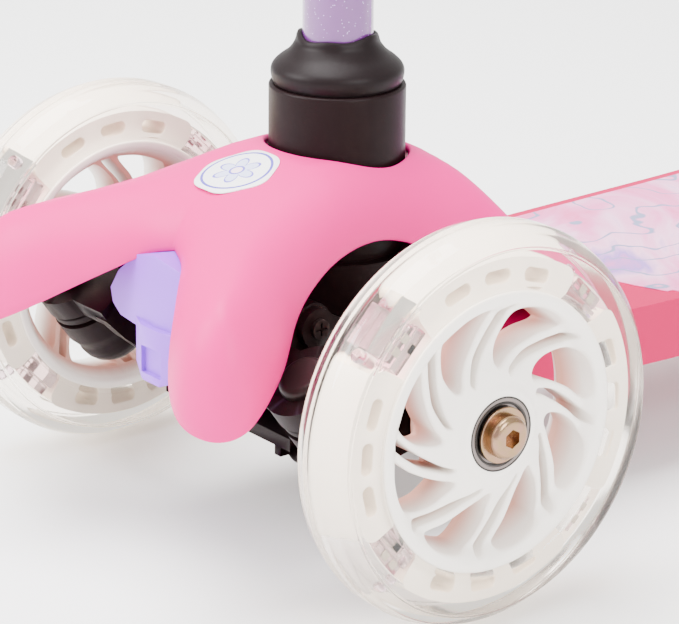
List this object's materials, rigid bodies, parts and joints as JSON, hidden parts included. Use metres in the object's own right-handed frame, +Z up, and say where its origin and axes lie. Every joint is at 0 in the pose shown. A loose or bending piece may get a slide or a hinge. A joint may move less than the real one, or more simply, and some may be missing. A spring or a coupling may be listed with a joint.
{
  "type": "kick scooter",
  "caption": "Three-wheel lean-to-steer kick scooter with a trefoil front cover, low deck, T-bar, swirl-spoke front wheels and a foot brake.",
  "frame": {"origin": "on the ground, at the centre of the part's footprint box", "axes": "+X to the rider's left, -Y forward, +Z up"},
  "size_m": [0.3, 0.5146, 0.659],
  "materials": {
    "cover_pink": "satin moulded pink",
    "deck_pink": "satin moulded deep pink",
    "deck_print": "printed pastel film",
    "badge_print": "printed white badge film",
    "lavender_plastic": "satin moulded lavender",
    "lavender_paint": "gloss lavender powder coat with sparkle",
    "black_plastic": "fine-textured black",
    "boot_rubber": "soft matt black",
    "grip_rubber": "soft matt pink",
    "hub_white": "milky white moulding",
    "tyre_clear": "clear cast polyurethane",
    "light_block": "clear moulding over a lamp",
    "yellow_zinc": "yellow zinc plate",
    "bright_steel": "bright zinc plate"
  },
  "bodies": {
    "frame": {"deck": "deck_pink", "deck_film": "deck_print", "front_cover": "cover_pink", "cover_badge": "badge_print", "chassis": "black_plastic", "nose_housing": "lavender_plastic", "collar": "black_plastic", "boot": "boot_rubber", "lower_tube": "lavender_paint", "snap_spring": "bright_steel", "clamp_collar": "black_plastic", "clamp_bolt": "bright_steel", "clamp_nut": "bright_steel", "clamp_pin": "bright_steel", "kingpin_left": "bright_steel", "kingpin_right": "bright_steel", "thrust_rings": "black_plastic", "centring_springs": "bright_steel", "chassis_screws": "bright_steel", "cover_screws": "bright_steel", "rear_spacer": "bright_steel", "rear_axle_bolt": "yellow_zinc", "rear_axle_nut": "yellow_zinc", "brake_pin": "bright_steel", "brake_spring": "bright_steel"},
    "knuckle_left": {"knuckle_left": "black_plastic", "axle_bolt_left": "yellow_zinc", "axle_washer_left": "yellow_zinc", "axle_nut_left": "yellow_zinc", "axle_spacer_left": "bright_steel", "tie_rod_pin_left": "bright_steel"},
    "front_wheel_left": {"front_tyre_left": "tyre_clear", "front_hub_left": "hub_white", "light_blocks_left": "light_block", "front_bearings_left": "bright_steel"},
    "knuckle_right": {"knuckle_right": "black_plastic", "axle_bolt_right": "yellow_zinc", "axle_washer_right": "yellow_zinc", "axle_nut_right": "yellow_zinc", "axle_spacer_right": "bright_steel", "tie_rod_pin_right": "bright_steel"},
    "front_wheel_right": {"front_tyre_right": "tyre_clear", "front_hub_right": "hub_white", "light_blocks_right": "light_block", "front_bearings_right": "bright_steel"},
    "tie_rod": {"tie_rod": "bright_steel"},
    "steering_bar": {"upper_tube": "lavender_paint", "tee_joint": "black_plastic", "crossbar": "lavender_paint", "grip_left": "grip_rubber", "grip_right": "grip_rubber", "end_caps": "lavender_plastic"},
    "clamp_lever": {"clamp_lever": "black_plastic"},
    "snap_button": {"snap_button": "bright_steel"},
    "rear_wheel": {"rear_tyre": "tyre_clear", "rear_hub": "hub_white", "rear_bearings": "bright_steel"},
    "brake_fender": {"brake_fender": "lavender_plastic"}
  },
  "joints": [
    {"name": "steer_left", "type": "hinge", "parent": "frame", "child": "knuckle_left", "pos_m": [0.06, -0.20965, 0.058], "axis": [0, -0.5878, 0.809], "range_deg": [-10, 10], "stiffness_Nm_per_rad": 8},
    {"name": "steer_right", "type": "hinge", "parent": "frame", "child": "knuckle_right", "pos_m": [-0.06, -0.20965, 0.058], "axis": [0, -0.5878, 0.809], "range_deg": [-10, 10]},
    {"name": "tie_rod_slide", "type": "slide", "parent": "frame", "child": "tie_rod", "axis": [1, 0, 0], "range_m": [-0.003, 0.003], "deforming": ["centring_springs"]},
    {"name": "front_wheel_left_spin", "type": "hinge", "parent": "knuckle_left", "child": "front_wheel_left", "pos_m": [0.0932, -0.18265, 0.06], "axis": [1, 0, 0], "continuous": true},
    {"name": "front_wheel_right_spin", "type": "hinge", "parent": "knuckle_right", "child": "front_wheel_right", "pos_m": [-0.0932, -0.18265, 0.06], "axis": [1, 0, 0], "continuous": true},
    {"name": "rear_wheel_spin", "type": "hinge", "parent": "frame", "child": "rear_wheel", "pos_m": [0, 0.21735, 0.04], "axis": [1, 0, 0], "continuous": true},
    {"name": "bar_height", "type": "slide", "parent": "frame", "child": "steering_bar", "axis": [0, 0, 1], "range_m": [-0.12, 0]},
    {"name": "clamp_lever_swing", "type": "hinge", "parent": "frame", "child": "clamp_lever", "pos_m": [0.0156, -0.13765, 0.464], "axis": [0, 0, 1], "range_deg": [0, 150]},
    {"name": "snap_button_press", "type": "slide", "parent": "frame", "child": "snap_button", "axis": [0, -1, 0], "range_m": [0, 0.006], "stiffness_N_per_m": 500, "springref_m": -0.001, "deforming": ["snap_spring"]},
    {"name": "brake_press", "type": "hinge", "parent": "frame", "child": "brake_fender", "pos_m": [0, 0.16935, 0.066], "axis": [-1, 0, 0], "range_deg": [0, 2.2], "stiffness_Nm_per_rad": 0.8, "springref_deg": -5.73, "deforming": ["brake_spring"]}
  ],
  "couplings": [
    {"joint": "steer_right", "follows": "steer_left", "ratio": 1},
    {"joint": "tie_rod_slide", "follows": "steer_left", "m_per_rad": -0.016}
  ]
}
